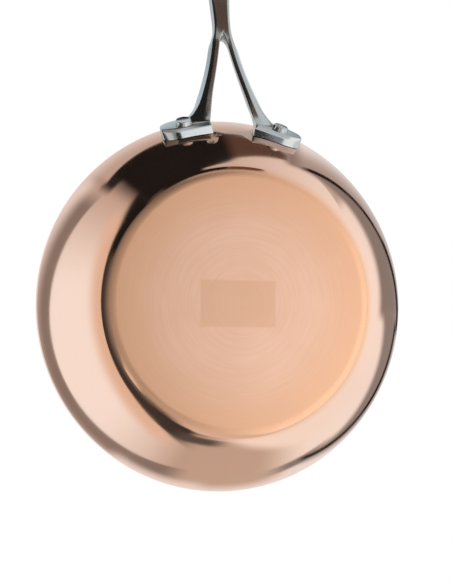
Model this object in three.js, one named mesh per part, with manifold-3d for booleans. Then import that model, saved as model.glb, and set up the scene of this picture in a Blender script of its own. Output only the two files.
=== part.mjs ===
// Copper frying pan: a three-layer drawn body and a forked cast handle held by two rivets.
// Millimetres, +Z up. The origin is the centre of the flat underside, and the handle points along +X.
import * as THREE from "three";
import { mergeVertices, toCreasedNormals } from "three/addons/utils/BufferGeometryUtils.js";
import Module from "manifold-3d";

const wasm = await Module();
wasm.setup();

// Pan body
const RIM_RADIUS = 120;
const PAN_HEIGHT = 47;
const BASE_FLAT_RADIUS = 73;
const CORNER_RADIUS = 13;
const WALL_BOW_RADIUS = 280;
const COPPER_THICKNESS = 0.5;
const CORE_THICKNESS = 1.5;
const LINING_THICKNESS = 0.5;

// Rivets
const RIVET_SPACING = 60.5;
const RIVET_HEIGHT = 37;
const SHANK_RADIUS = 3;
const OUTER_HEAD_RADIUS = 5.3;
const OUTER_HEAD_HEIGHT = 2.4;
const OUTER_HEAD_CHAMFER = 0.5;
const OUTER_HEAD_DISH = 0.4;
const INNER_HEAD_RADIUS = 6;
const INNER_HEAD_HEIGHT = 2.2;

// Handle feet, which lie on the wall, measured from the rivet
const FOOT_THICKNESS = 5.8;
const FOOT_WIDTH = 17;
const FOOT_INNER_LENGTH = 16.5;
const FOOT_OUTER_LENGTH = 15.2;
const FOOT_EDGE_ROUND = 0.8;

// Handle arms, which rise from the inner ends of the feet and meet at the neck
const ARM_ROOT_WIDTH = 12;
const ARM_ROOT_HEIGHT = 5.5;
const ARM_WIDTH = 5;
const ARM_HEIGHT = 5.2;
const ARM_EDGE_ROUND = 2;
const ARM_ROOT_LIFT = 1;
const ARM_ROOT_RISE = 26;
const ARM_ROOT_CONVERGENCE = 17;
const NECK_CONVERGENCE = 3;
const NECK_REACH = 66;
const NECK_HEIGHT = 69;
const NECK_OVERLAP = 13;

// Grip
const HANDLE_REACH = 195;
const TIP_HEIGHT = 99;
const NECK_SLOPE = 24;
const TIP_SLOPE = 4;
const NECK_WIDTH = 11.5;
const NECK_THICKNESS = 8;
const PALM_DISTANCE = 100;
const GRIP_WIDTH = 21;
const GRIP_THICKNESS = 8.5;
const TIP_WIDTH = 19;
const TIP_THICKNESS = 6.5;
const GRIP_EDGE_ROUND = 3;
const HANG_SLOT_LENGTH = 24;
const HANG_SLOT_WIDTH = 8.5;
const HANG_SLOT_MARGIN = 8;

// Fits
const SEAT_CLEARANCE = 0.3;
const SHANK_CLEARANCE = 0.3;

// Facets
const BODY_SEGMENTS = 64;
const CORNER_STEPS = 4;
const WALL_STEPS = 4;
const RIVET_SEGMENTS = 20;
const DOME_STEPS = 3;
const FOOT_END_STEPS = 8;
const FOOT_EDGE_STEPS = 2;
const SLOT_END_STEPS = 6;
const SECTION_CORNER_STEPS = 3;
const ARM_STATIONS = 12;
const GRIP_STATIONS = 12;
const TIP_STATIONS = 5;
const CREASE_ANGLE = 30;

const TOTAL_THICKNESS = COPPER_THICKNESS + CORE_THICKNESS + LINING_THICKNESS;

const copper = new THREE.MeshStandardMaterial({ color: 0xd9976b, roughness: 0.2, metalness: 1 });
const aluminium = new THREE.MeshStandardMaterial({ color: 0xc9cbce, roughness: 0.4, metalness: 1 });
const brushedSteel = new THREE.MeshStandardMaterial({ color: 0xbfc0c0, roughness: 0.35, metalness: 1 });
const polishedSteel = new THREE.MeshStandardMaterial({ color: 0xc8c8c6, roughness: 0.12, metalness: 1 });

// A closed geometry as a solid for cutting and joining.
function solid(geometry) {
  const bare = new THREE.BufferGeometry();
  bare.setAttribute("position", geometry.getAttribute("position"));
  bare.setIndex(geometry.index);
  const merged = mergeVertices(bare, 1e-4);
  const mesh = new wasm.Mesh({
    numProp: 3,
    vertProperties: merged.getAttribute("position").array,
    triVerts: new Uint32Array(merged.index.array),
  });
  return new wasm.Manifold(mesh);
}

// A solid as a named mesh with smooth curves and sharp edges.
function meshOf(shape, name, material) {
  const cut = shape.getMesh();
  const geometry = new THREE.BufferGeometry();
  geometry.setAttribute("position", new THREE.BufferAttribute(cut.vertProperties, 3));
  geometry.setIndex(new THREE.BufferAttribute(cut.triVerts, 1));
  const mesh = new THREE.Mesh(toCreasedNormals(geometry, THREE.MathUtils.degToRad(CREASE_ANGLE)), material);
  mesh.name = name;
  return mesh;
}

// A profile of [radius, height] pairs turned about the Z axis.
function turned(profile, segments) {
  const points = profile.map(([radius, height]) => new THREE.Vector2(radius, height));
  return new THREE.LatheGeometry(points, segments).rotateX(Math.PI / 2);
}

// The wall's outside is two tangent arcs. Their centres follow from the base, the rim and the two radii.
const cornerCentre = new THREE.Vector2(BASE_FLAT_RADIUS, CORNER_RADIUS);
const rimPoint = new THREE.Vector2(RIM_RADIUS, PAN_HEIGHT);
const wallCentre = wallArcCentre();
const cornerAngle = Math.atan2(cornerCentre.x - wallCentre.x, wallCentre.y - cornerCentre.y);

function wallArcCentre() {
  const chord = cornerCentre.clone().sub(rimPoint);
  const fromCorner = WALL_BOW_RADIUS - CORNER_RADIUS;
  const span = chord.length();
  const along = (WALL_BOW_RADIUS ** 2 - fromCorner ** 2 + span ** 2) / (2 * span);
  const across = Math.sqrt(WALL_BOW_RADIUS ** 2 - along ** 2);
  const direction = chord.normalize();
  const inward = new THREE.Vector2(direction.y, -direction.x);
  return rimPoint.clone().addScaledVector(direction, along).addScaledVector(inward, across);
}

// The wall's angle from the base plane where a layer at this depth below the outside reaches a height.
function wallAngle(height, depth) {
  return Math.acos((wallCentre.y - height) / (WALL_BOW_RADIUS - depth));
}

// The curve at a depth below the outside face, from the axis to the rim, as [radius, height] pairs.
function bodyCurve(depth) {
  const curve = [[0, depth]];
  const arc = (centre, radius, from, to, steps) => {
    for (let i = 0; i <= steps; i++) {
      const angle = from + ((to - from) * i) / steps;
      curve.push([centre.x + radius * Math.sin(angle), centre.y - radius * Math.cos(angle)]);
    }
  };
  arc(cornerCentre, CORNER_RADIUS - depth, 0, cornerAngle, CORNER_STEPS);
  curve.pop();
  arc(wallCentre, WALL_BOW_RADIUS - depth, cornerAngle, wallAngle(PAN_HEIGHT, depth), WALL_STEPS);
  return curve;
}

// One layer of the body, between two depths below the outside face.
function layer(outerDepth, innerDepth) {
  return turned([...bodyCurve(outerDepth), ...bodyCurve(innerDepth).reverse()], BODY_SEGMENTS);
}

// The frame of a rivet: origin on the wall's outside, X round the wall towards the pan's +Y, Y up the wall
// and Z out of it. The side is 1 at +Y and -1 at -Y.
function rivetFrame(side) {
  const lean = wallAngle(RIVET_HEIGHT, 0);
  const radius = wallCentre.x + WALL_BOW_RADIUS * Math.sin(lean);
  const turn = side * Math.asin(RIVET_SPACING / 2 / radius);
  const out = new THREE.Vector3(Math.cos(turn), Math.sin(turn), 0);
  const up = new THREE.Vector3(0, 0, 1);
  const normal = out.clone().multiplyScalar(Math.sin(lean)).addScaledVector(up, -Math.cos(lean));
  const slope = out.clone().multiplyScalar(Math.cos(lean)).addScaledVector(up, Math.sin(lean));
  const along = slope.clone().cross(normal);
  const origin = out.multiplyScalar(radius).addScaledVector(up, RIVET_HEIGHT);
  return new THREE.Matrix4().makeBasis(along, slope, normal).setPosition(origin);
}

// The hole that a rivet's shank goes through, in the wall and in the foot.
function shankHole(frame) {
  const radius = SHANK_RADIUS + SHANK_CLEARANCE;
  const length = 2 * (FOOT_THICKNESS + TOTAL_THICKNESS);
  const hole = new THREE.CylinderGeometry(radius, radius, length, RIVET_SEGMENTS).rotateX(Math.PI / 2);
  return solid(hole.applyMatrix4(frame));
}

// A rivet along its own Z: a low dome inside the pan, the shank, and a flat dished head on the foot.
function rivetGeometry() {
  const inside = -(TOTAL_THICKNESS + SEAT_CLEARANCE);
  const outside = FOOT_THICKNESS + SEAT_CLEARANCE;
  const profile = [];
  for (let i = 0; i <= DOME_STEPS; i++) {
    const angle = (i / DOME_STEPS) * (Math.PI / 2);
    profile.push([INNER_HEAD_RADIUS * Math.sin(angle), inside - INNER_HEAD_HEIGHT * Math.cos(angle)]);
  }
  const top = outside + OUTER_HEAD_HEIGHT;
  const flatRadius = OUTER_HEAD_RADIUS - OUTER_HEAD_CHAMFER;
  profile.push([SHANK_RADIUS, inside], [SHANK_RADIUS, outside]);
  profile.push([OUTER_HEAD_RADIUS, outside], [OUTER_HEAD_RADIUS, top - OUTER_HEAD_CHAMFER]);
  profile.push([flatRadius, top], [0, top - OUTER_HEAD_DISH]);
  return turned(profile, RIVET_SEGMENTS);
}

// A foot's outline on the wall: square at the arm, round at the free end.
function footShape(side) {
  const half = FOOT_WIDTH / 2;
  const inner = -side * FOOT_INNER_LENGTH;
  const endCentre = side * (FOOT_OUTER_LENGTH - half);
  const endStart = (-side * Math.PI) / 2;
  const shape = new THREE.Shape();
  shape.moveTo(inner, half * side);
  shape.lineTo(inner, -half * side);
  shape.absarc(endCentre, 0, half, endStart, endStart + Math.PI, false);
  shape.closePath();
  return shape;
}

// A foot runs a wall's thickness into the pan, so that the pan's outside can be cut out of it.
function footSolid(frame, side) {
  const sink = TOTAL_THICKNESS;
  const foot = new THREE.ExtrudeGeometry(footShape(side), {
    depth: FOOT_THICKNESS + sink - 2 * FOOT_EDGE_ROUND,
    curveSegments: FOOT_END_STEPS,
    bevelThickness: FOOT_EDGE_ROUND,
    bevelSize: FOOT_EDGE_ROUND,
    bevelOffset: -FOOT_EDGE_ROUND,
    bevelSegments: FOOT_EDGE_STEPS,
  });
  foot.translate(0, 0, FOOT_EDGE_ROUND - sink);
  return solid(foot.applyMatrix4(frame));
}

// A closed ring of points: a rectangle with round corners, in the plane of two axes.
// The corners of a thin section leave some of each side flat.
function roundedSection(centre, across, up, width, height, round) {
  const largestShare = 0.45;
  const radius = Math.min(round, largestShare * width, largestShare * height);
  const ring = [];
  for (let quarter = 0; quarter < 4; quarter++) {
    const signAcross = quarter === 0 || quarter === 3 ? 1 : -1;
    const signUp = quarter < 2 ? 1 : -1;
    for (let i = 0; i <= SECTION_CORNER_STEPS; i++) {
      const angle = (quarter + i / SECTION_CORNER_STEPS) * (Math.PI / 2);
      const x = signAcross * (width / 2 - radius) + radius * Math.cos(angle);
      const y = signUp * (height / 2 - radius) + radius * Math.sin(angle);
      ring.push(centre.clone().addScaledVector(across, x).addScaledVector(up, y));
    }
  }
  return ring;
}

// A closed skin over rings with the same number of points, with a flat cap at each end.
function loft(rings) {
  const count = rings[0].length;
  const middle = (ring) => {
    const sum = ring.reduce((total, point) => total.add(point), new THREE.Vector3());
    return sum.divideScalar(count);
  };
  const points = [...rings.flat(), middle(rings[0]), middle(rings.at(-1))];
  const firstCap = points.length - 2;
  const lastCap = points.length - 1;
  const lastRing = (rings.length - 1) * count;
  const faces = [];
  for (let i = 0; i < count; i++) {
    const next = (i + 1) % count;
    for (let ring = 0; ring < lastRing; ring += count) {
      faces.push(ring + i, ring + next, ring + count + next);
      faces.push(ring + i, ring + count + next, ring + count + i);
    }
    faces.push(firstCap, next, i);
    faces.push(lastCap, lastRing + i, lastRing + next);
  }
  return new THREE.BufferGeometry().setFromPoints(points).setIndex(faces);
}

// The grip's middle line: a shallow arch in the handle's plane.
function gripSpine() {
  const start = new THREE.Vector3(RIM_RADIUS + NECK_REACH, 0, NECK_HEIGHT);
  const end = new THREE.Vector3(RIM_RADIUS + HANDLE_REACH, 0, TIP_HEIGHT);
  const pull = start.distanceTo(end) / 3;
  const heading = (degrees) => {
    const angle = THREE.MathUtils.degToRad(degrees);
    return new THREE.Vector3(Math.cos(angle), 0, Math.sin(angle));
  };
  const afterStart = start.clone().addScaledVector(heading(NECK_SLOPE), pull);
  const beforeEnd = end.clone().addScaledVector(heading(TIP_SLOPE), -pull);
  return new THREE.CubicBezierCurve3(start, afterStart, beforeEnd, end);
}

// The grip swells from the neck to the palm, tapers a little and ends in a half-round tip with a small flat.
function gripSolid(spine) {
  const tipShare = TIP_WIDTH / 2 / spine.getLength();
  const palmShare = PALM_DISTANCE / spine.getLength();
  const side = new THREE.Vector3(0, 1, 0);
  const rings = [];
  const addRing = (along, rounding) => {
    const tangent = spine.getTangentAt(along);
    const swell = THREE.MathUtils.smoothstep(along, 0, palmShare);
    const taper = THREE.MathUtils.smoothstep(along, palmShare, 1);
    const width = NECK_WIDTH + (GRIP_WIDTH - NECK_WIDTH) * swell + (TIP_WIDTH - GRIP_WIDTH) * taper;
    const thickness =
      NECK_THICKNESS + (GRIP_THICKNESS - NECK_THICKNESS) * swell + (TIP_THICKNESS - GRIP_THICKNESS) * taper;
    const up = tangent.clone().cross(side);
    const centre = spine.getPointAt(along);
    rings.push(roundedSection(centre, side, up, width * rounding, thickness, GRIP_EDGE_ROUND));
  };
  for (let i = 0; i < GRIP_STATIONS; i++) addRing((i / GRIP_STATIONS) * (1 - tipShare), 1);
  for (let i = 0; i <= TIP_STATIONS; i++) {
    const angle = (i / (TIP_STATIONS + 0.5)) * (Math.PI / 2);
    addRing(1 - tipShare * (1 - Math.sin(angle)), Math.cos(angle));
  }
  return solid(loft(rings));
}

// An arm from its foot to the neck: wide where it leaves the foot, slender where it meets its twin.
function armSolid(frame, side, spine) {
  const rootAlong = -side * (FOOT_INNER_LENGTH - ARM_ROOT_WIDTH / 2);
  const root = new THREE.Vector3(rootAlong, ARM_ROOT_LIFT, FOOT_THICKNESS / 2).applyMatrix4(frame);
  const neckShare = NECK_OVERLAP / spine.getLength();
  const neck = spine.getPointAt(neckShare);
  neck.y = (side * (NECK_WIDTH - ARM_WIDTH)) / 2;
  const rise = THREE.MathUtils.degToRad(ARM_ROOT_RISE);
  const rootTurn = -side * THREE.MathUtils.degToRad(ARM_ROOT_CONVERGENCE);
  const neckTurn = -side * THREE.MathUtils.degToRad(NECK_CONVERGENCE);
  const pull = root.distanceTo(neck) / 3;
  const upright = new THREE.Vector3(0, 0, 1);
  const rootHeading = new THREE.Vector3(Math.cos(rise), 0, Math.sin(rise)).applyAxisAngle(upright, rootTurn);
  const neckHeading = spine.getTangentAt(neckShare).applyAxisAngle(upright, neckTurn);
  const afterRoot = root.clone().addScaledVector(rootHeading, pull);
  const beforeNeck = neck.clone().addScaledVector(neckHeading, -pull);
  const line = new THREE.CubicBezierCurve3(root, afterRoot, beforeNeck, neck);
  const rings = [];
  for (let i = 0; i <= ARM_STATIONS; i++) {
    const along = i / ARM_STATIONS;
    const tangent = line.getTangentAt(along);
    const across = new THREE.Vector3(-tangent.y, tangent.x, 0).normalize();
    const up = tangent.clone().cross(across);
    const flare = (1 - along) ** 4;
    const width = ARM_WIDTH + (ARM_ROOT_WIDTH - ARM_WIDTH) * flare;
    const height = ARM_HEIGHT + (ARM_ROOT_HEIGHT - ARM_HEIGHT) * flare;
    rings.push(roundedSection(line.getPointAt(along), across, up, width, height, ARM_EDGE_ROUND));
  }
  return solid(loft(rings));
}

// The hole near the tip that the pan hangs by.
function hangSlot(spine) {
  const half = HANG_SLOT_WIDTH / 2;
  const reach = HANG_SLOT_LENGTH / 2 - half;
  const shape = new THREE.Shape();
  shape.absarc(reach, 0, half, -Math.PI / 2, Math.PI / 2, false);
  shape.absarc(-reach, 0, half, Math.PI / 2, (3 * Math.PI) / 2, false);
  shape.closePath();
  const depth = 4 * GRIP_THICKNESS;
  const settings = { depth, curveSegments: SLOT_END_STEPS, bevelEnabled: false };
  const slot = new THREE.ExtrudeGeometry(shape, settings);
  slot.translate(0, 0, -depth / 2);
  const along = 1 - (HANG_SLOT_MARGIN + HANG_SLOT_LENGTH / 2) / spine.getLength();
  const tangent = spine.getTangentAt(along);
  const side = new THREE.Vector3(0, 1, 0);
  const frame = new THREE.Matrix4().makeBasis(tangent, side, tangent.clone().cross(side));
  return solid(slot.applyMatrix4(frame.setPosition(spine.getPointAt(along))));
}

// Everything that the feet must stay clear of: the pan's outside, filled, with the seat clearance round it.
function bodyEnvelope() {
  const curve = bodyCurve(-SEAT_CLEARANCE);
  return solid(turned([...curve, [0, PAN_HEIGHT]], BODY_SEGMENTS));
}

const sides = [
  { name: "right", side: 1 },
  { name: "left", side: -1 },
];
for (const place of sides) place.frame = rivetFrame(place.side);

const pan = new THREE.Group();

const layers = [
  { name: "copper_skin", material: copper, thickness: COPPER_THICKNESS },
  { name: "aluminium_core", material: aluminium, thickness: CORE_THICKNESS },
  { name: "steel_lining", material: brushedSteel, thickness: LINING_THICKNESS },
];
let depth = 0;
for (const { name, material, thickness } of layers) {
  let shape = solid(layer(depth, depth + thickness));
  for (const { frame } of sides) shape = shape.subtract(shankHole(frame));
  pan.add(meshOf(shape, name, material));
  depth += thickness;
}

const spine = gripSpine();
let casting = gripSolid(spine);
for (const { frame, side } of sides) {
  casting = casting.add(footSolid(frame, side));
  casting = casting.add(armSolid(frame, side, spine));
}
casting = casting.subtract(bodyEnvelope()).subtract(hangSlot(spine));
for (const { frame } of sides) casting = casting.subtract(shankHole(frame));
pan.add(meshOf(casting, "handle", polishedSteel));

for (const { name, frame } of sides) {
  const rivet = new THREE.Mesh(rivetGeometry(), polishedSteel);
  rivet.name = `rivet_${name}`;
  rivet.applyMatrix4(frame);
  pan.add(rivet);
}

export default pan;
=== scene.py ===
"""Copper-clad frying pan with a forked cast steel handle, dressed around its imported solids.

The classes hold sizes in millimetres, and the meshes are in metres. +Z is up and +X runs along the handle.
"""

import logging
import math
from dataclasses import dataclass, field
from enum import Enum
from typing import Any

import bmesh
import bpy
from mathutils import Euler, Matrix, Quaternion, Vector


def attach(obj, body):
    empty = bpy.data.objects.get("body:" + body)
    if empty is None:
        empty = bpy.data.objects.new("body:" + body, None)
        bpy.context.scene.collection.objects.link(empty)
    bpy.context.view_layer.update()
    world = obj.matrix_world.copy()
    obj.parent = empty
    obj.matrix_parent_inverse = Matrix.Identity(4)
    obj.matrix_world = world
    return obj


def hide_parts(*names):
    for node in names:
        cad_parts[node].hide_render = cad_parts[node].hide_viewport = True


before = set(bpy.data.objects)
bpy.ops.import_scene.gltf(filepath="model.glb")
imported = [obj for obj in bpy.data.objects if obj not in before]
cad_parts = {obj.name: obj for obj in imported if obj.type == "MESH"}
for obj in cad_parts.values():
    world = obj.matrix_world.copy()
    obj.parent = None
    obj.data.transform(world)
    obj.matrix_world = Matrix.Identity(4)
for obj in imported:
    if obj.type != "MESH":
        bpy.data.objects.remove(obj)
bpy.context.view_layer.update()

log = logging.getLogger("frying_pan")

MM = 0.001
BODY = "root"
RADIUS_ATTRIBUTE = "turn_radius"
SHARP_ANGLE = math.radians(40)
SEAM_GAP = 0.001
MIDDLE_PLANE_GAP = 1e-6
WHITE = "#FFFFFF"

Profile = list[tuple[float, float]]


def linear(colour: str, strength: float = 1.0) -> tuple[float, float, float, float]:
    """Turn an sRGB hex colour into linear values.

    Args:
        colour: The colour as "#RRGGBB".
        strength: A factor on the linear values.

    Returns:
        Red, green, blue and an alpha of 1.
    """
    parts = [int(colour[i:i + 2], 16) / 255 for i in (1, 3, 5)]
    values = [p / 12.92 if p <= 0.04045 else ((p + 0.055) / 1.055) ** 2.4 for p in parts]
    return (*(strength * v for v in values), 1.0)


def add_node(
    tree: bpy.types.NodeTree, kind: str, inputs: dict | None = None, **settings: Any
) -> bpy.types.Node:
    """Add a node with its settings, values and links.

    Args:
        tree: The tree that the node goes into.
        kind: Blender's name for the kind of node.
        inputs: For each input's name or index, a value or the output that feeds it.
        **settings: Properties of the node, set before its inputs.

    Returns:
        The new node.
    """
    node = tree.nodes.new(kind)
    for name, value in settings.items():
        setattr(node, name, value)
    for key, value in (inputs or {}).items():
        if isinstance(value, bpy.types.NodeSocket):
            tree.links.new(value, node.inputs[key])
        else:
            node.inputs[key].default_value = value
    return node


def smoothstep(value: float, low: float, high: float) -> float:
    """Ease from 0 at low to 1 at high."""
    share = min(max((value - low) / (high - low), 0.0), 1.0)
    return share * share * (3 - 2 * share)


def new_piece(name: str, profile: Profile) -> bpy.types.Object:
    """Make an object at the origin that holds only a profile to turn.

    Args:
        name: The piece's name.
        profile: Pairs of radius and height, or none for an empty piece.

    Returns:
        The object, linked to the scene.
    """
    mesh = bpy.data.meshes.new(name)
    points = [Vector((radius, 0.0, height)) * MM for radius, height in profile]
    mesh.from_pydata(points, [(i, i + 1) for i in range(len(points) - 1)], [])
    piece = bpy.data.objects.new(name, mesh)
    bpy.context.scene.collection.objects.link(piece)
    return piece


def settle(piece: bpy.types.Object) -> None:
    """Turn a piece with modifiers into a plain smooth mesh whose faces point outwards.

    Args:
        piece: The piece to change.
    """
    graph = bpy.context.evaluated_depsgraph_get()
    draft = piece.data
    piece.data = bpy.data.meshes.new_from_object(piece.evaluated_get(graph))
    piece.modifiers.clear()
    bpy.data.meshes.remove(draft)
    shell = bmesh.new()
    shell.from_mesh(piece.data)
    bmesh.ops.recalc_face_normals(shell, faces=shell.faces)
    for face in shell.faces:
        face.smooth = True
    shell.to_mesh(piece.data)
    shell.free()
    piece.data.set_sharp_from_angle(angle=SHARP_ANGLE)


def hand_over(piece: bpy.types.Object, slot: str, *nodes: str) -> None:
    """Fix a finished piece to the pan in place of its solids.

    Args:
        piece: The finished piece.
        slot: The record's material slot, which is not used.
        *nodes: The solids that it stands for.
    """
    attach(piece, BODY)
    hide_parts(*nodes)
    log.info("%s: %d faces for %s", piece.name, len(piece.data.polygons), ", ".join(nodes))


def set_inputs(modifier: bpy.types.NodesModifier, values: dict[str, Any]) -> None:
    """Set a Geometry Nodes modifier's inputs by their sockets' identifiers.

    Args:
        modifier: The modifier, with its tree already given.
        values: A value for each input's name.
    """
    for item in modifier.node_group.interface.items_tree:
        if item.in_out == "INPUT" and item.name in values:
            modifier[item.identifier] = values[item.name]


def start_tree(name: str, made: str, *sizes: str) -> bpy.types.NodeTree:
    """Start a tree that turns a profile.

    Args:
        name: The tree's name.
        made: The name of its output.
        *sizes: Names of inputs beside Profile, Segments and Finish.

    Returns:
        The tree, with its sockets and no nodes.
    """
    tree = bpy.data.node_groups.new(name, "GeometryNodeTree")
    sockets = {"Profile": "NodeSocketGeometry", "Segments": "NodeSocketInt", "Finish": "NodeSocketMaterial"}
    sockets |= dict.fromkeys(sizes, "NodeSocketFloat")
    for socket, kind in sockets.items():
        tree.interface.new_socket(socket, in_out="INPUT", socket_type=kind)
    tree.interface.new_socket(made, in_out="OUTPUT", socket_type="NodeSocketGeometry")
    return tree


def end_tree(
    tree: bpy.types.NodeTree, geometry: bpy.types.NodeSocket, material: bpy.types.NodeSocket
) -> None:
    """End a tree: make its instances real, dress them and hand them out.

    Args:
        tree: The tree.
        geometry: The output that holds the shape.
        material: The output that holds the finish.
    """
    whole = add_node(tree, "GeometryNodeRealizeInstances", {"Geometry": geometry}).outputs[0]
    dressed = add_node(tree, "GeometryNodeSetMaterial", {"Geometry": whole, "Material": material})
    add_node(tree, "NodeGroupOutput", {0: dressed.outputs[0]})


def turning_tree() -> bpy.types.NodeTree:
    """Build the tree that turns a profile about Z, as on a spinning lathe.

    Returns:
        A tree with inputs Profile, Segments and Finish. Each point keeps its distance from the axis.
    """
    tree = start_tree("turn_profile", "Turned")
    given = add_node(tree, "NodeGroupInput").outputs
    count = add_node(tree, "GeometryNodeAttributeDomainSize", {"Geometry": given["Profile"]})
    columns = {0: given["Segments"], 1: 1}
    columns = add_node(tree, "FunctionNodeIntegerMath", columns, operation="ADD").outputs[0]
    sizes = {"Vertices X": count.outputs["Point Count"], "Vertices Y": columns}
    grid = add_node(tree, "GeometryNodeMeshGrid", sizes)
    index = add_node(tree, "GeometryNodeInputIndex").outputs[0]
    cell = {0: index, 1: columns}
    row = add_node(tree, "FunctionNodeIntegerMath", cell, operation="DIVIDE_FLOOR").outputs[0]
    step = add_node(tree, "FunctionNodeIntegerMath", cell, operation="MODULO").outputs[0]
    share = add_node(tree, "ShaderNodeMath", {0: step, 1: given["Segments"]}, operation="DIVIDE").outputs[0]
    angle = add_node(tree, "ShaderNodeMath", {0: share, 1: math.tau}, operation="MULTIPLY").outputs[0]
    position = add_node(tree, "GeometryNodeInputPosition").outputs[0]
    sample = {"Geometry": given["Profile"], "Value": position, "Index": row}
    place = add_node(tree, "GeometryNodeSampleIndex", sample, data_type="FLOAT_VECTOR").outputs[0]
    parts = add_node(tree, "ShaderNodeSeparateXYZ", {0: place}).outputs
    cosine = add_node(tree, "ShaderNodeMath", {0: angle}, operation="COSINE").outputs[0]
    sine = add_node(tree, "ShaderNodeMath", {0: angle}, operation="SINE").outputs[0]
    along_x = add_node(tree, "ShaderNodeMath", {0: parts["X"], 1: cosine}, operation="MULTIPLY").outputs[0]
    along_y = add_node(tree, "ShaderNodeMath", {0: parts["X"], 1: sine}, operation="MULTIPLY").outputs[0]
    turned = add_node(tree, "ShaderNodeCombineXYZ", {0: along_x, 1: along_y, 2: parts["Z"]}).outputs[0]
    shape = {"Geometry": grid.outputs["Mesh"], "Position": turned}
    shape = add_node(tree, "GeometryNodeSetPosition", shape)
    kept = {"Geometry": shape.outputs[0], "Name": RADIUS_ATTRIBUTE, "Value": parts["X"]}
    marked = add_node(tree, "GeometryNodeStoreNamedAttribute", kept)
    seam = {"Geometry": marked.outputs[0], "Distance": SEAM_GAP * MM}
    closed = add_node(tree, "GeometryNodeMergeByDistance", seam)
    end_tree(tree, closed.outputs[0], given["Finish"])
    return tree


def riveting_tree(turning: bpy.types.NodeTree) -> bpy.types.NodeTree:
    """Build the tree that turns one rivet and sets it at both seats on the wall.

    Args:
        turning: The tree that turns a profile.

    Returns:
        A tree with inputs Profile, Segments, Finish, Seat radius, Seat height, Half spacing and Lean.
    """
    sizes = ("Seat radius", "Seat height", "Half spacing", "Lean")
    tree = start_tree("set_rivet_pair", "Rivets", *sizes)
    given = add_node(tree, "NodeGroupInput").outputs
    rivet = add_node(tree, "GeometryNodeGroup", node_tree=turning)
    for name in ("Profile", "Segments", "Finish"):
        tree.links.new(given[name], rivet.inputs[name])
    index = add_node(tree, "GeometryNodeInputIndex").outputs[0]
    side = {0: index, 1: 2.0, 2: -1.0}
    side = add_node(tree, "ShaderNodeMath", side, operation="MULTIPLY_ADD").outputs[0]
    sine = {0: given["Half spacing"], 1: given["Seat radius"]}
    sine = add_node(tree, "ShaderNodeMath", sine, operation="DIVIDE").outputs[0]
    bearing = add_node(tree, "ShaderNodeMath", {0: sine}, operation="ARCSINE").outputs[0]
    turn = add_node(tree, "ShaderNodeMath", {0: bearing, 1: side}, operation="MULTIPLY").outputs[0]
    cosine = add_node(tree, "ShaderNodeMath", {0: turn}, operation="COSINE").outputs[0]
    reach = {0: given["Seat radius"], 1: cosine}
    reach = add_node(tree, "ShaderNodeMath", reach, operation="MULTIPLY").outputs[0]
    across = {0: given["Half spacing"], 1: side}
    across = add_node(tree, "ShaderNodeMath", across, operation="MULTIPLY").outputs[0]
    seat = add_node(tree, "ShaderNodeCombineXYZ", {0: reach, 1: across, 2: given["Seat height"]}).outputs[0]
    points = add_node(tree, "GeometryNodePoints", {"Count": 2, "Position": seat})
    tilt = add_node(tree, "ShaderNodeMath", {0: math.pi, 1: given["Lean"]}, operation="SUBTRACT").outputs[0]
    angles = add_node(tree, "ShaderNodeCombineXYZ", {1: tilt, 2: turn}).outputs[0]
    rotation = add_node(tree, "FunctionNodeEulerToRotation", {0: angles}).outputs[0]
    spots = {"Points": points.outputs[0], "Instance": rivet.outputs[0], "Rotation": rotation}
    pair = add_node(tree, "GeometryNodeInstanceOnPoints", spots)
    end_tree(tree, pair.outputs[0], given["Finish"])
    return tree


@dataclass(frozen=True)
class Grain:
    """Fine rings that an abrasive or a tool leaves on a spinning piece.

    Attributes:
        spacing: The distance between rings in millimetres.
        arc: How far one ring runs before it fades, in millimetres.
    """

    spacing: float
    arc: float

    def draw(self, tree: bpy.types.NodeTree) -> bpy.types.NodeSocket:
        """Draw the rings.

        Args:
            tree: The material's tree.

        Returns:
            A grey value from 0 to 1.
        """
        radius = add_node(tree, "ShaderNodeAttribute", attribute_name=RADIUS_ATTRIBUTE).outputs["Fac"]
        rings = {0: radius, 1: 1 / (self.spacing * MM)}
        rings = add_node(tree, "ShaderNodeMath", rings, operation="MULTIPLY").outputs[0]
        place = add_node(tree, "ShaderNodeTexCoord").outputs["Object"]
        slow = {"Vector": place, "Scale": (1 / (self.arc * MM),) * 3}
        slow = add_node(tree, "ShaderNodeMapping", slow).outputs[0]
        parts = add_node(tree, "ShaderNodeSeparateXYZ", {0: slow}).outputs
        spun = add_node(tree, "ShaderNodeCombineXYZ", {0: rings, 1: parts["X"], 2: parts["Y"]}).outputs[0]
        noise = {"Vector": spun, "Scale": 1.0, "Detail": 2.0}
        return add_node(tree, "ShaderNodeTexNoise", noise).outputs["Fac"]

    @staticmethod
    def draw_all(tree: bpy.types.NodeTree, grains: tuple["Grain", ...]) -> bpy.types.NodeSocket:
        """Draw several kinds of rings on top of each other.

        Args:
            tree: The material's tree.
            grains: The rings.

        Returns:
            The sum of their grey values.
        """
        total = grains[0].draw(tree)
        for grain in grains[1:]:
            both = {0: total, 1: grain.draw(tree)}
            total = add_node(tree, "ShaderNodeMath", both, operation="ADD").outputs[0]
        return total


@dataclass(frozen=True)
class Finish:
    """A surface as it left the maker's hands.

    Attributes:
        name: The material and how its surface was made.
        slot: The record's material slot.
    """

    name: str
    slot: str

    def material(self) -> bpy.types.Material:
        """Make the material from the finish's own shader.

        Returns:
            The material.
        """
        material = bpy.data.materials.new(self.name)
        material.use_nodes = True
        material.node_tree.nodes.clear()
        shader = self.shade(material.node_tree)
        add_node(material.node_tree, "ShaderNodeOutputMaterial", {"Surface": shader.outputs[0]})
        return material

    def shade(self, tree: bpy.types.NodeTree) -> bpy.types.Node:
        """Add the finish's nodes and return its shader."""
        raise NotImplementedError


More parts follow.
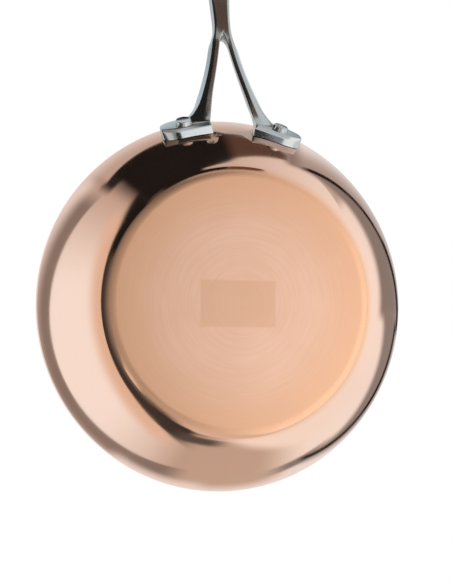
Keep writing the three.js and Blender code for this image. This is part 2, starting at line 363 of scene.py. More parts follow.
@dataclass(frozen=True)
class CopperFinish(Finish):
    """Sheet copper, buffed to a mirror on the wall and brushed in circles on the base.

    Attributes:
        buffed: Colour of the mirror wall.
        brushed: Colour of the brushed base at its middle.
        brushed_edge: Colour of the brushed base near its edge, where the copper is barer.
        brushed_dark: Colour in the brush marks.
        plate: Colour of the bare plate at the middle, which is brushed less.
        brushed_reach: Radius where the brushing starts to fade.
        buffed_reach: Radius where the mirror is whole.
        colour_reach: Radius where the barer colour of the brushed copper has faded.
        plate_size: The bare plate's length along X and along Y.
        plate_centre: The bare plate's middle along X and along Y, a little off the base's centre.
        plate_soft: Half the width over which the plate's edge fades.
        plate_share: How far each direction of the plate takes its colour.
        edge_span: Radii between which the base's colour changes.
        grains: The brush marks, coarse and fine.
        cloud_size: Size of the patches in which the marks are stronger or weaker.
        mark_span: Sums of marks and patches that are bare and that are deepest.
        mark_share: How far the deepest marks take their colour.
        brushed_span: Sums of the marks for the first and the last roughness of the base.
        brushed_roughness: Roughness of the base.
        buffed_span: Patch values for the first and the last roughness of the wall.
        buffed_roughness: Roughness of the wall.
        relief: How strongly the marks show as relief.
        relief_depth: Depth of the marks.
    """

    buffed: str = "#F9CBB3"
    brushed: str = "#FCCCAE"
    brushed_edge: str = "#F6BE97"
    brushed_dark: str = "#EDB691"
    plate: str = "#EAB48C"
    brushed_reach: float = 75.5
    buffed_reach: float = 79.8
    colour_reach: float = 83.0
    plate_size: tuple[float, float] = (27.2, 45.0)
    plate_centre: tuple[float, float] = (-1.2, -3.0)
    plate_soft: float = 0.5
    plate_share: float = 0.75
    edge_span: tuple[float, float] = (38.0, 73.0)
    # Real brush marks are about 0.2 mm apart, too fine to show here, so these are coarser.
    grains: tuple[Grain, ...] = (Grain(1.6, 42.0), Grain(0.7, 16.0))
    cloud_size: float = 28.0
    mark_span: tuple[float, float] = (1.9, 1.2)
    mark_share: float = 0.45
    brushed_span: tuple[float, float] = (0.5, 1.5)
    brushed_roughness: tuple[float, float] = (0.33, 0.41)
    buffed_span: tuple[float, float] = (0.3, 0.7)
    buffed_roughness: tuple[float, float] = (0.04, 0.075)
    relief: float = 0.16
    relief_depth: float = 0.05

    def shade(self, tree: bpy.types.NodeTree) -> bpy.types.Node:
        """Give a soft ringed sheen on the base and clean reflections on the wall.

        Args:
            tree: The material's tree.

        Returns:
            The shader.
        """
        metres = add_node(tree, "ShaderNodeAttribute", attribute_name=RADIUS_ATTRIBUTE).outputs["Fac"]
        radius = add_node(tree, "ShaderNodeMath", {0: metres, 1: 1 / MM}, operation="MULTIPLY").outputs[0]
        fade = {0: radius, 1: self.brushed_reach, 2: self.buffed_reach, 3: 1.0, 4: 0.0}
        satin = add_node(tree, "ShaderNodeMapRange", fade, interpolation_type="SMOOTHSTEP").outputs[0]
        rings = Grain.draw_all(tree, self.grains)
        place = add_node(tree, "ShaderNodeTexCoord").outputs["Object"]
        cloud = {"Vector": place, "Scale": 1 / (self.cloud_size * MM), "Detail": 2.0}
        cloud = add_node(tree, "ShaderNodeTexNoise", cloud).outputs["Fac"]
        marks = add_node(tree, "ShaderNodeMath", {0: rings, 1: cloud}, operation="ADD").outputs[0]
        depth = dict(enumerate((marks, *self.mark_span, 0.0, self.mark_share)))
        depth = add_node(tree, "ShaderNodeMapRange", depth).outputs[0]
        outward = dict(enumerate((radius, *self.edge_span)))
        outward = add_node(tree, "ShaderNodeMapRange", outward, interpolation_type="SMOOTHSTEP").outputs[0]
        bare = {0: radius, 1: self.brushed_reach, 2: self.colour_reach, 3: 0.0, 4: 1.0}
        bare = add_node(tree, "ShaderNodeMapRange", bare, interpolation_type="SMOOTHSTEP").outputs[0]
        colour = linear(self.brushed)
        coats = (
            (outward, self.brushed_edge), (depth, self.brushed_dark),
            (self.plate_mask(tree), self.plate), (bare, self.buffed),
        )
        for share, shown in coats:
            coat = {0: share, 6: colour, 7: linear(shown)}
            colour = add_node(tree, "ShaderNodeMix", coat, data_type="RGBA").outputs[2]
        drag = dict(enumerate((rings, *self.brushed_span, *self.brushed_roughness)))
        drag = add_node(tree, "ShaderNodeMapRange", drag).outputs[0]
        haze = dict(enumerate((cloud, *self.buffed_span, *self.buffed_roughness)))
        haze = add_node(tree, "ShaderNodeMapRange", haze).outputs[0]
        gloss = add_node(tree, "ShaderNodeMix", {0: satin, 2: haze, 3: drag}).outputs[0]
        relief = add_node(tree, "ShaderNodeMath", {0: rings, 1: satin}, operation="MULTIPLY").outputs[0]
        bump = {"Strength": self.relief, "Distance": self.relief_depth * MM, "Height": relief}
        bump = add_node(tree, "ShaderNodeBump", bump).outputs[0]
        inputs = {"Base Color": colour, "Metallic": 1.0, "Roughness": gloss, "Normal": bump}
        return add_node(tree, "ShaderNodeBsdfPrincipled", inputs)

    def plate_mask(self, tree: bpy.types.NodeTree) -> bpy.types.NodeSocket:
        """Mark the bare plate near the middle of the base.

        Args:
            tree: The material's tree.

        Returns:
            The share of the plate's colour, which is 0 off the plate.
        """
        place = add_node(tree, "ShaderNodeTexCoord").outputs["Object"]
        parts = add_node(tree, "ShaderNodeSeparateXYZ", {0: place}).outputs
        mask = None
        for axis, size, middle in zip("XY", self.plate_size, self.plate_centre):
            along = {0: parts[axis], 1: middle * MM}
            along = add_node(tree, "ShaderNodeMath", along, operation="SUBTRACT").outputs[0]
            away = add_node(tree, "ShaderNodeMath", {0: along}, operation="ABSOLUTE").outputs[0]
            outer, inner = size / 2 + self.plate_soft, size / 2 - self.plate_soft
            edge = {0: away, 1: outer * MM, 2: inner * MM, 3: 0.0, 4: self.plate_share}
            inside = add_node(tree, "ShaderNodeMapRange", edge).outputs[0]
            if mask is not None:
                both = {0: inside, 1: mask}
                inside = add_node(tree, "ShaderNodeMath", both, operation="MULTIPLY").outputs[0]
            mask = inside
        return mask


@dataclass(frozen=True)
class TurnedFinish(Finish):
    """Bare metal with the fine rings of a tool that met it while it turned.

    Attributes:
        light: Colour of the ridges.
        dark: Colour in the tool marks.
        grains: The rings, which add up.
        roughness: The first and the last roughness.
        gloss_span: Sums of the rings for the first and the last roughness.
        tone_span: Sums of the rings for the dark and the light colour.
        relief: How strongly the rings show as relief.
        relief_depth: Depth of the rings in millimetres.
        sheen: How far highlights stretch across the rings.
    """

    light: str
    dark: str
    grains: tuple[Grain, ...]
    roughness: tuple[float, float]
    gloss_span: tuple[float, float] = (0.3, 0.7)
    tone_span: tuple[float, float] = (0.0, 1.0)
    relief: float = 0.0
    relief_depth: float = 0.05
    sheen: float = 0.0

    def shade(self, tree: bpy.types.NodeTree) -> bpy.types.Node:
        """Give bright metal with faint rings, and a fan-shaped sheen where it has one.

        Args:
            tree: The material's tree.

        Returns:
            The shader.
        """
        rings = Grain.draw_all(tree, self.grains)
        share = dict(enumerate((rings, *self.tone_span)))
        share = add_node(tree, "ShaderNodeMapRange", share).outputs[0]
        tone = {0: share, 6: linear(self.dark), 7: linear(self.light)}
        tone = add_node(tree, "ShaderNodeMix", tone, data_type="RGBA").outputs[2]
        gloss = dict(enumerate((rings, *self.gloss_span, *self.roughness)))
        gloss = add_node(tree, "ShaderNodeMapRange", gloss).outputs[0]
        inputs = {"Base Color": tone, "Metallic": 1.0, "Roughness": gloss}
        if self.relief:
            bump = {"Strength": self.relief, "Distance": self.relief_depth * MM, "Height": rings}
            inputs["Normal"] = add_node(tree, "ShaderNodeBump", bump).outputs[0]
        if self.sheen:
            turning = add_node(tree, "ShaderNodeTangent", direction_type="RADIAL", axis="Z").outputs[0]
            inputs |= {"Anisotropic": self.sheen, "Tangent": turning}
        return add_node(tree, "ShaderNodeBsdfPrincipled", inputs)


@dataclass(frozen=True)
class CastSteelFinish(Finish):
    """Cast stainless steel, polished until only a faint waviness of the casting is left.

    Attributes:
        bright: Colour of the polished metal.
        dull: Colour where the polish is thinner.
        wave_size: Size of the casting's waves in millimetres.
        grit_size: Size of the polish's marks in millimetres.
        grit_span: Grit values for the first and the last roughness.
        roughness: The first and the last roughness.
        relief: How strongly the waves show as relief.
        relief_depth: Depth of the waves in millimetres.
    """

    bright: str = "#C6C7C4"
    dull: str = "#B6B7B4"
    wave_size: float = 7.0
    grit_size: float = 0.8
    grit_span: tuple[float, float] = (0.3, 0.7)
    roughness: tuple[float, float] = (0.1, 0.17)
    relief: float = 0.2
    relief_depth: float = 0.15

    def shade(self, tree: bpy.types.NodeTree) -> bpy.types.Node:
        """Give strong reflections that bend a little over the casting.

        Args:
            tree: The material's tree.

        Returns:
            The shader.
        """
        place = add_node(tree, "ShaderNodeTexCoord").outputs["Object"]
        waves = {"Vector": place, "Scale": 1 / (self.wave_size * MM), "Detail": 1.0}
        waves = add_node(tree, "ShaderNodeTexNoise", waves).outputs["Fac"]
        grit = {"Vector": place, "Scale": 1 / (self.grit_size * MM), "Detail": 3.0}
        grit = add_node(tree, "ShaderNodeTexNoise", grit).outputs["Fac"]
        tone = {0: grit, 6: linear(self.bright), 7: linear(self.dull)}
        tone = add_node(tree, "ShaderNodeMix", tone, data_type="RGBA").outputs[2]
        gloss = dict(enumerate((grit, *self.grit_span, *self.roughness)))
        gloss = add_node(tree, "ShaderNodeMapRange", gloss).outputs[0]
        bump = {"Strength": self.relief, "Distance": self.relief_depth * MM, "Height": waves}
        bump = add_node(tree, "ShaderNodeBump", bump).outputs[0]
        inputs = {"Base Color": tone, "Metallic": 1.0, "Roughness": gloss, "Normal": bump}
        return add_node(tree, "ShaderNodeBsdfPrincipled", inputs)


COPPER = CopperFinish("copper_buffed_and_brushed", "copper")
CAST_STEEL = CastSteelFinish("stainless_cast_polished", "cast_steel")
# Brushed sheet shows fine rings and a bright fan. Real rings are about 0.15 mm apart, too fine to show here,
# so these are coarser.
BRUSHED_STEEL = TurnedFinish(
    "stainless_brushed", "brushed_steel", "#C9C8C4", "#B8B7B3",
    (Grain(1.1, 60.0), Grain(0.5, 20.0)), (0.36, 0.24),
    gloss_span=(0.6, 1.4), tone_span=(0.7, 1.3), relief=0.3, sheen=0.6,
)
# Cold heading leaves a bright head, with the marks of the tool that faced it.
RIVET_STEEL = TurnedFinish(
    "stainless_cold_headed", "rivet_steel", "#D2D2CF", "#B4B4B1", (Grain(0.5, 8.0),), (0.2, 0.13),
    relief=0.2, relief_depth=0.04,
)
# Rolled sheet, trimmed square at the rim, shows a pale, soft line between the copper and the steel.
ROLLED_ALUMINIUM = TurnedFinish(
    "aluminium_rolled", "aluminium", "#DEE0E2", "#B9BBBE", (Grain(0.3, 6.0),), (0.42, 0.3)
)


@dataclass(frozen=True)
class Seat:
    """A rivet's place on the wall's outside.

    Attributes:
        origin: The place itself, in millimetres.
        along: Direction round the wall, away from the handle's middle plane.
        slope: Direction up the wall.
        normal: Direction out of the wall.
    """

    origin: Vector
    along: Vector
    slope: Vector
    normal: Vector

    def point(self, along: float, slope: float, normal: float) -> Vector:
        """Return the point at these distances from the seat."""
        return self.origin + along * self.along + slope * self.slope + normal * self.normal


@dataclass(frozen=True)
class Layer:
    """One sheet of the body.

    Attributes:
        name: The piece's name.
        node: The solid that it stands for.
        depth: How far its outer face lies below the body's outside.
        thickness: The sheet's thickness.
        finish: Its surface.
    """

    name: str
    node: str
    depth: float
    thickness: float
    finish: Finish


@dataclass
class PanBody:
    """The drawn body: copper outside, an aluminium core and a steel lining."""

    rim_radius: float = 120.0
    height: float = 47.0
    base_flat_radius: float = 73.0
    corner_radius: float = 13.0
    wall_bow_radius: float = 280.0
    rim_round: float = 0.14
    flat_steps: int = 8
    corner_steps: int = 22
    wall_steps: int = 34
    segments: int = 224
    layers: tuple[Layer, ...] = (
        Layer("copper_skin_drawn", "copper_skin", 0.0, 0.5, COPPER),
        Layer("aluminium_core_rolled", "aluminium_core", 0.5, 1.5, ROLLED_ALUMINIUM),
        Layer("steel_lining_brushed", "steel_lining", 2.0, 0.5, BRUSHED_STEEL),
    )
    corner_angle: float = field(init=False)
    wall_centre: tuple[float, float] = field(init=False)

    def __post_init__(self) -> None:
        """Find where the corner's arc meets the wall's longer arc, which ends at the rim."""
        run = self.rim_radius - self.base_flat_radius
        rise = self.height - self.corner_radius
        span = math.hypot(run, rise)
        offset = self.wall_bow_radius - self.corner_radius
        reach = (self.wall_bow_radius ** 2 - offset ** 2 - span ** 2) / (2 * offset)
        self.corner_angle = math.atan2(rise, run) + math.asin(reach / span)
        centre_radius = self.base_flat_radius - offset * math.sin(self.corner_angle)
        centre_height = self.corner_radius + offset * math.cos(self.corner_angle)
        self.wall_centre = (centre_radius, centre_height)

    def wall_angle(self, height: float, depth: float) -> float:
        """Return the wall's angle from the base where a depth below the outside reaches a height."""
        return math.acos((self.wall_centre[1] - height) / (self.wall_bow_radius - depth))

    def curve(self, depth: float) -> Profile:
        """Trace the body from its axis to its rim.

        Args:
            depth: The distance below the outside.

        Returns:
            Pairs of radius and height.
        """
        points = [(self.base_flat_radius * i / self.flat_steps, depth) for i in range(self.flat_steps)]
        top = self.wall_angle(self.height, depth)
        corner = (self.base_flat_radius, self.corner_radius)
        arcs = (
            (corner, self.corner_radius, 0.0, self.corner_angle, self.corner_steps),
            (self.wall_centre, self.wall_bow_radius, self.corner_angle, top, self.wall_steps),
        )
        for centre, radius, start, end, steps in arcs:
            for i in range(steps):
                angle = start + (end - start) * i / steps
                reach = radius - depth
                points.append((centre[0] + reach * math.sin(angle), centre[1] - reach * math.cos(angle)))
        rim = self.wall_centre[0] + (self.wall_bow_radius - depth) * math.sin(top)
        return points + [(rim, self.height)]

    def layer_profile(self, layer: Layer) -> Profile:
        """Trace a layer's section, with its two rim edges broken.

        Args:
            layer: The layer.

        Returns:
            Pairs of radius and height, from the axis outside to the axis inside.
        """
        outside = self.curve(layer.depth)
        inside = self.curve(layer.depth + layer.thickness)
        lean = self.wall_angle(self.height, layer.depth)
        fall = Vector((-math.cos(lean), -math.sin(lean))) * self.rim_round
        level = Vector((self.rim_round, 0.0))
        edges = []
        for corner, before, after in ((outside[-1], fall, -level), (inside[-1], level, fall)):
            tip = Vector(corner)
            edges += [tuple(tip + before), tuple(tip + (before + after) / 4), tuple(tip + after)]
        return outside[:-1] + edges + inside[-2::-1]

    def seat(self, height: float, half_spacing: float, side: int) -> Seat:
        """Find a rivet's place on the wall.

        Args:
            height: The place's height above the base.
            half_spacing: Its distance from the handle's middle plane.
            side: 1 on the +Y side and -1 on the -Y side.

        Returns:
            The place and its directions.
        """
        lean = self.wall_angle(height, 0.0)
        radius = self.wall_centre[0] + self.wall_bow_radius * math.sin(lean)
        turn = side * math.asin(half_spacing / radius)
        out = Vector((math.cos(turn), math.sin(turn), 0.0))
        up = Vector((0.0, 0.0, 1.0))
        along = side * Vector((-math.sin(turn), math.cos(turn), 0.0))
        slope = math.cos(lean) * out + math.sin(lean) * up
        normal = math.sin(lean) * out - math.cos(lean) * up
        return Seat(radius * out + height * up, along, slope, normal)

    def distance_outside(self, point: Vector) -> float:
        """Measure how far a point beside the wall is from the wall's outside.

        Args:
            point: The point.

        Returns:
            The distance, which is negative inside the wall.
        """
        radius = math.hypot(point.x, point.y)
        centre = self.wall_centre
        return math.hypot(radius - centre[0], point.z - centre[1]) - self.wall_bow_radius

    def build(self, turning: bpy.types.NodeTree) -> list[bpy.types.Object]:
        """Turn the three layers and dress them.

        Args:
            turning: The tree that turns a profile.

        Returns:
            The finished pieces.
        """
        pieces = []
        for layer in self.layers:
            piece = new_piece(layer.name, self.layer_profile(layer))
            lathe = piece.modifiers.new("turn", "NODES")
            lathe.node_group = turning
            set_inputs(lathe, {"Segments": self.segments, "Finish": layer.finish.material()})
            settle(piece)
            hand_over(piece, layer.finish.slot, layer.node)
            pieces.append(piece)
        return pieces


class Bow:
    """A cubic curve that is read by its share of the arc length."""

    STEPS = 240

    def __init__(self, start: Vector, start_heading: Vector, end: Vector, end_heading: Vector) -> None:
        """Lay the curve between two points, with a third of their distance as pull.

        Args:
            start: The first point.
            start_heading: The direction in which the curve leaves it.
            end: The last point.
            end_heading: The direction in which the curve arrives.
        """
        pull = (end - start).length / 3
        knots = (start, start + start_heading * pull, end - end_heading * pull, end)
        self.points = [self.blend(knots, i / self.STEPS) for i in range(self.STEPS + 1)]
        self.lengths = [0.0]
        for before, after in zip(self.points, self.points[1:]):
            self.lengths.append(self.lengths[-1] + (after - before).length)
        self.length = self.lengths[-1]

    @staticmethod
    def blend(knots: tuple[Vector, ...], share: float) -> Vector:
        """Find a point of the curve.

        Args:
            knots: The curve's two ends, with its two pulls between them.
            share: The share of the curve's parameter.

        Returns:
            The point.
        """
        rest = 1 - share
        weights = (rest ** 3, 3 * rest ** 2 * share, 3 * rest * share ** 2, share ** 3)
        return sum((w * k for w, k in zip(weights, knots)), Vector((0.0, 0.0, 0.0)))

    def at(self, share: float) -> tuple[Vector, Vector]:
        """Read the curve.

        Args:
            share: The share of its length, from 0 to 1.

        Returns:
            The point and the direction there.
        """
        goal = min(max(share, 0.0), 1.0) * self.length
        i = next((n for n in range(1, len(self.lengths)) if self.lengths[n] >= goal), len(self.lengths) - 1)
        step = self.points[i] - self.points[i - 1]
        part = (goal - self.lengths[i - 1]) / (self.lengths[i] - self.lengths[i - 1])
        return self.points[i - 1] + part * step, step.normalized()


class Cage:
    """The control mesh of one half of a casting that is the same on both sides of Y = 0."""

    def __init__(self) -> None:
        """Start with nothing."""
        self.points: list[Vector] = []
        self.faces: list[tuple[int, ...]] = []
        self.creases: dict[tuple[int, int], float] = {}

    def add(self, *points: Vector) -> list[int]:
        """Add points.

        Args:
            *points: The points.

        Returns:
            Their numbers.
        """
        first = len(self.points)
        self.points += points
        return list(range(first, first + len(points)))

    def crease(self, path: list[int], weight: float) -> None:
        """Sharpen the edges along a path of points."""
        for pair in zip(path, path[1:]):
            self.creases[pair] = weight

    def bridge(self, first: list[int], second: list[int], closed: bool) -> None:
        """Lay faces between two rows of points.

        Args:
            first: Point numbers of one row.
            second: Point numbers of the other.
            closed: Whether the rows are rings.
        """
        count = len(first)
        for i in range(count if closed else count - 1):
            j = (i + 1) % count
            self.faces.append((first[i], first[j], second[j], second[i]))

    def mesh(self, piece: bpy.types.Object) -> None:
        """Write both halves into a piece, joined at the middle plane.

        Args:
            piece: The piece that gets the control mesh.
        """
        shell = bmesh.new()
        halves = []
        for side in (1, -1):
            half = []
            for number, point in enumerate(self.points):
                shared = side < 0 and abs(point.y) < MIDDLE_PLANE_GAP
                place = Vector((point.x, side * point.y, point.z)) * MM
                half.append(halves[0][number] if shared else shell.verts.new(place))
            halves.append(half)
            for face in self.faces:
                shell.faces.new([half[n] for n in face])
        sharpness = shell.edges.layers.float.new("crease_edge")
        for half in halves:
            for pair, weight in self.creases.items():
                edge = shell.edges.get([half[n] for n in pair])
                edge[sharpness] = weight
        bmesh.ops.recalc_face_normals(shell, faces=shell.faces)
        shell.to_mesh(piece.data)
        shell.free()


@dataclass
class Handle:
    """The forked handle: two feet on the wall, two arms that meet at the neck, and a slotted grip."""

    # The feet. The near line ends the bevel and the far line starts the arm, from the inner end outwards.
    rivet_spacing: float = 60.5
    rivet_height: float = 37.0
    foot_thickness: float = 5.8
    foot_width: float = 17.0
    foot_inner_length: float = 16.5
    foot_outer_length: float = 15.2
    foot_edge_inner: float = 3.9
    foot_edge_outer: float = 4.2
    foot_draft: float = 1.75
    foot_near_line: tuple[float, ...] = (-4.6, -5.0, -5.2, -5.4, -5.3)
    foot_far_line: tuple[float, ...] = (-4.2, -1.6, 3.5, 1.5, 0.5)
    foot_waist: float = 6.5
    foot_end_reach: float = 1.0
    foot_end_width: float = 0.58
    foot_end_near: float = 0.3
    foot_far_drop: float = 0.3
    # The arms. Sizes at the root run into those of the arm, and stations are shares of its length.
    arm_root_width: float = 12.0
    arm_root_height: float = 5.5
    arm_width: float = 5.0
    arm_height: float = 5.2
    arm_root_lift: float = 1.0
    arm_root_roll: float = 26.0
    arm_roll: float = 8.0
    arm_keel: float = 1.2
    arm_sole: float = 0.3
    arm_chamfer: float = 2.4
    arm_chamfer_slope: float = 0.18
    arm_chamfer_root_slope: float = 0.35
    arm_keel_drop: float = 0.2
    arm_crest_shift: float = 0.5
    arm_shoulder: float = 1.0
    arm_ridge_shift: float = 2.3
    arm_ridge_height: float = 0.3
    arm_sole_shift: float = 1.2
    arm_inner_lean: float = 0.2
    arm_inner_shoulder: float = 1.4
    arm_inner_flare: float = 1.6
    arm_flare_power: int = 4
    arm_inner_power: int = 7
    arm_roll_power: int = 3
    arm_stations: tuple[float, ...] = (0.8, 0.68, 0.56, 0.45, 0.35, 0.26)
    arm_root_stations: tuple[float, ...] = (0.19, 0.20, 0.17, 0.13, 0.08, 0.03, 0.12, 0.17)
    arm_root_rise: float = 26.0
    arm_root_convergence: float = 17.0
    # The neck, the grip and its slot.
    neck_convergence: float = 3.0
    neck_reach: float = 66.0
    neck_height: float = 69.0
    neck_overlap: float = 13.0
    reach: float = 195.0
    tip_height: float = 99.0
    neck_slope: float = 24.0
    tip_slope: float = 4.0
    neck_width: float = 11.5
    neck_thickness: float = 8.0
    palm_distance: float = 100.0
    grip_width: float = 21.0
    grip_thickness: float = 8.5
    tip_width: float = 19.0
    tip_thickness: float = 6.5
    slot_length: float = 24.0
    slot_width: float = 8.5
    slot_margin: float = 8.0
    slot_lead: float = 2.2
    slot_round_depth: float = 1.4
    slot_round_share: float = 0.75
    tip_end_share: float = 0.5
    tip_round_share: float = 0.8
    tip_full_share: float = 0.97
    tip_centre_share: float = 0.25
    grip_stops: int = 5
    neck_lead: float = 3.0
    crotch_lead: float = 1.0
    # The fit on the wall, and how sharp the edges stay when the casting is smoothed.
    seat_steps: int = 40
    seat_gap: float = 0.3
    arm_crease: float = 0.35
    ridge_crease: float = 0.85
    foot_crease: float = 0.8
    shoulder_crease: float = 0.95
    under_crease: float = 1.0
    slot_crease: float = 0.5
    levels: int = 3
    finish: Finish = CAST_STEEL

    def spine(self, body: PanBody) -> Bow:
        """Lay the grip's middle line from the neck to the tip.

        Args:
            body: The pan that the handle is fixed to.

        Returns:
            The middle line.
        """
        start = Vector((body.rim_radius + self.neck_reach, 0.0, self.neck_height))
        end = Vector((body.rim_radius + self.reach, 0.0, self.tip_height))
        rise, level = math.radians(self.neck_slope), math.radians(self.tip_slope)
        leave = Vector((math.cos(rise), 0.0, math.sin(rise)))
        arrive = Vector((math.cos(level), 0.0, math.sin(level)))
        return Bow(start, leave, end, arrive)

    def arm_line(self, seat: Seat, spine: Bow) -> Bow:
        """Lay an arm's middle line from its foot to the neck.

        Args:
            seat: The foot's rivet on the +Y side.
            spine: The grip's middle line.

        Returns:
            The arm's middle line.
        """
        inward = self.arm_root_width / 2 - self.foot_inner_length
        root = seat.point(inward, self.arm_root_lift, self.foot_thickness / 2)
        neck, heading = spine.at(self.neck_overlap / spine.length)
        neck = Vector((neck.x, (self.neck_width - self.arm_width) / 2, neck.z))
        rise = math.radians(self.arm_root_rise)
        leave = Vector((math.cos(rise), 0.0, math.sin(rise)))
        leave.rotate(Euler((0.0, 0.0, -math.radians(self.arm_root_convergence))))
        arrive = heading.copy()
        arrive.rotate(Euler((0.0, 0.0, -math.radians(self.neck_convergence))))
        return Bow(root, leave, neck, arrive)

    def grip_section(self, spine: Bow, from_tip: float) -> tuple[Vector, Vector, float, float]:
        """Measure the grip at a distance from its tip.

        Args:
            spine: The grip's middle line.
            from_tip: The distance along it.

        Returns:
            The middle, the direction up, half the width and half the thickness.
        """
        share = 1 - from_tip / spine.length
        palm = self.palm_distance / spine.length
        swell, taper = smoothstep(share, 0.0, palm), smoothstep(share, palm, 1.0)
        width = self.neck_width + (self.grip_width - self.neck_width) * swell
        width += (self.tip_width - self.grip_width) * taper
        thickness = self.neck_thickness + (self.grip_thickness - self.neck_thickness) * swell
        thickness += (self.tip_thickness - self.grip_thickness) * taper
        middle, heading = spine.at(share)
        return middle, Vector((-heading.z, 0.0, heading.x)), width / 2, thickness / 2

    def whole_row(self, cage: Cage, spine: Bow, from_tip: float, narrowing: float = 1.0) -> list[int]:
        """Add half a section of the grip, from its top middle round to its bottom middle.

        Args:
            cage: The control mesh.
            spine: The grip's middle line.
            from_tip: The section's distance from the tip.
            narrowing: A factor on its width.

        Returns:
            The section's points.
        """
        middle, up, half, thick = self.grip_section(spine, from_tip)
        half *= narrowing
        outline = ((0, 1), (0.5, 1), (1, 1), (1, 0), (1, -1), (0.5, -1), (0, -1))
        return cage.add(*(middle + Vector((0.0, x * half, 0.0)) + up * (y * thick) for x, y in outline))

    def slot_ring(self, cage: Cage, spine: Bow, from_tip: float, slot_half: float) -> list[int]:
        """Add the section of the grip on one side of the hang slot.

        Args:
            cage: The control mesh.
            spine: The grip's middle line.
            from_tip: The section's distance from the tip.
            slot_half: Half the slot's width there.

        Returns:
            The section's points.
        """
        middle, up, half, thick = self.grip_section(spine, from_tip)
        centre = (half + slot_half) / 2
        outline = (
            (centre, 1), (half, 1), (half, 0), (half, -1),
            (centre, -1), (slot_half, -1), (slot_half, 0), (slot_half, 1),
        )
        return cage.add(*(middle + Vector((0.0, y, 0.0)) + up * (z * thick) for y, z in outline))

    def arm_outline(self, share: float) -> Profile:
        """Trace an arm's section, from its top middle round by its outer side.

        The underside rises to the outer side in one slope, and a chamfer breaks its inner edge.

        Args:
            share: The section's place on the arm's middle line.

        Returns:
            Pairs of distances outwards and upwards from the middle line.
        """
        flare = (1 - share) ** self.arm_flare_power
        half = (self.arm_width + (self.arm_root_width - self.arm_width) * flare) / 2
        tall = (self.arm_height + (self.arm_root_height - self.arm_height) * flare) / 2
        inner = -half - self.arm_inner_flare * (1 - share) ** self.arm_inner_power
        keel = tall + self.arm_keel_drop + self.arm_keel * flare
        chamfer = self.arm_chamfer + flare
        lift = chamfer * (self.arm_chamfer_slope + self.arm_chamfer_root_slope * flare)
        return [
            (self.arm_crest_shift, tall),
            (half + self.arm_shoulder, tall),
            (half + self.arm_ridge_shift, self.arm_ridge_height),
            (self.arm_sole * half + self.arm_sole_shift, -tall),
            (inner + chamfer, -keel),
            (inner - self.arm_inner_lean, lift - keel),
            (inner + self.arm_inner_lean, 0.0),
            (inner + self.arm_inner_shoulder, tall),
        ]

    def arm_ring(self, cage: Cage, line: Bow, shares: tuple[float, ...]) -> list[int]:
        """Add an arm's section, rolled outwards the more the closer it is to the foot.

        Args:
            cage: The control mesh.
            line: The arm's middle line.
            shares: Each point's place on it.

        Returns:
            The section's points.
        """
        points = []
        for corner, share in enumerate(shares):
            middle, heading = line.at(share)
            level = Vector((-heading.y, heading.x, 0.0)).normalized()
            near_foot = (1 - share) ** self.arm_roll_power
            roll = self.arm_roll + (self.arm_root_roll - self.arm_roll) * near_foot
            across = Quaternion(heading, math.radians(roll)) @ level
            up = heading.cross(across)
            x, y = self.arm_outline(share)[corner]
            points.append(middle + across * x + up * y)
        return cage.add(*points)

    @staticmethod
    def fork(cage: Cage, whole: list[int], ring: list[int], throat: Vector, crease: float) -> None:
        """Join a half section to a ring beside it, round the end of a slot or the crotch of the arms.

        Args:
            cage: The control mesh.
            whole: The half section's points.
            ring: The ring's points.
            throat: The middle of the slot's end, on the middle plane.
            crease: How sharp the slot's edges are.
        """
        deep = cage.add(throat)[0]
        cage.bridge(whole[1:6], ring[0:5], closed=False)
        cage.faces += [
            (whole[0], whole[1], ring[0], ring[7]), (whole[5], whole[6], ring[5], ring[4]),
            (whole[0], ring[7], ring[6], deep), (deep, ring[6], ring[5], whole[6]),
        ]
        cage.crease([ring[7], whole[0]], crease)
        cage.crease([ring[5], whole[6]], crease)

    def grip(self, cage: Cage, spine: Bow) -> list[int]:
        """Add the grip from its tip to the neck.

        Args:
            cage: The control mesh.
            spine: The grip's middle line.

        Returns:
            The last half section, at the neck.
        """
        end = self.whole_row(cage, spine, 0.0, self.tip_end_share)
        middle, _, half, _ = self.grip_section(spine, 0.0)
        centre, side = cage.add(middle, middle + Vector((0.0, half * self.tip_centre_share, 0.0)))
        cage.faces += [
            (end[0], end[1], side, centre), (end[1], end[2], end[3], side),
            (side, end[3], end[4], end[5]), (centre, side, end[5], end[6]),
        ]
        row = end
        lead = self.slot_lead
        rounded = ((lead, self.tip_round_share), (self.slot_margin - lead, self.tip_full_share))
        for from_tip, narrowing in rounded:
            following = self.whole_row(cage, spine, from_tip, narrowing)
            cage.bridge(row, following, closed=False)
            row = following
        near, far = self.slot_margin, self.slot_margin + self.slot_length
        half = self.slot_width / 2
        rounding = ((self.slot_round_depth, self.slot_round_share), (half, 1.0))
        stations = [(near + d, half * w) for d, w in rounding]
        stations += [((near + far) / 2, half)]
        stations += [(far - d, half * w) for d, w in reversed(rounding)]
        rings = [self.slot_ring(cage, spine, d, w) for d, w in stations]
        for before, after in zip(rings, rings[1:]):
            cage.bridge(before, after, closed=True)
            for edge in (5, 7):
                cage.crease([before[edge], after[edge]], self.slot_crease)
        self.pin_middle(cage, row, spine, near)
        self.fork(cage, row, rings[0], self.grip_section(spine, near)[0], self.slot_crease)
        row = self.whole_row(cage, spine, far + lead)
        self.pin_middle(cage, row, spine, far)
        self.fork(cage, row, rings[-1], self.grip_section(spine, far)[0], self.slot_crease)
        for i in range(1, self.grip_stops + 1):
            from_tip = far + lead + (spine.length - self.neck_lead - far - lead) * i / self.grip_stops
            following = self.whole_row(cage, spine, from_tip)
            cage.bridge(row, following, closed=False)
            row = following
        return row

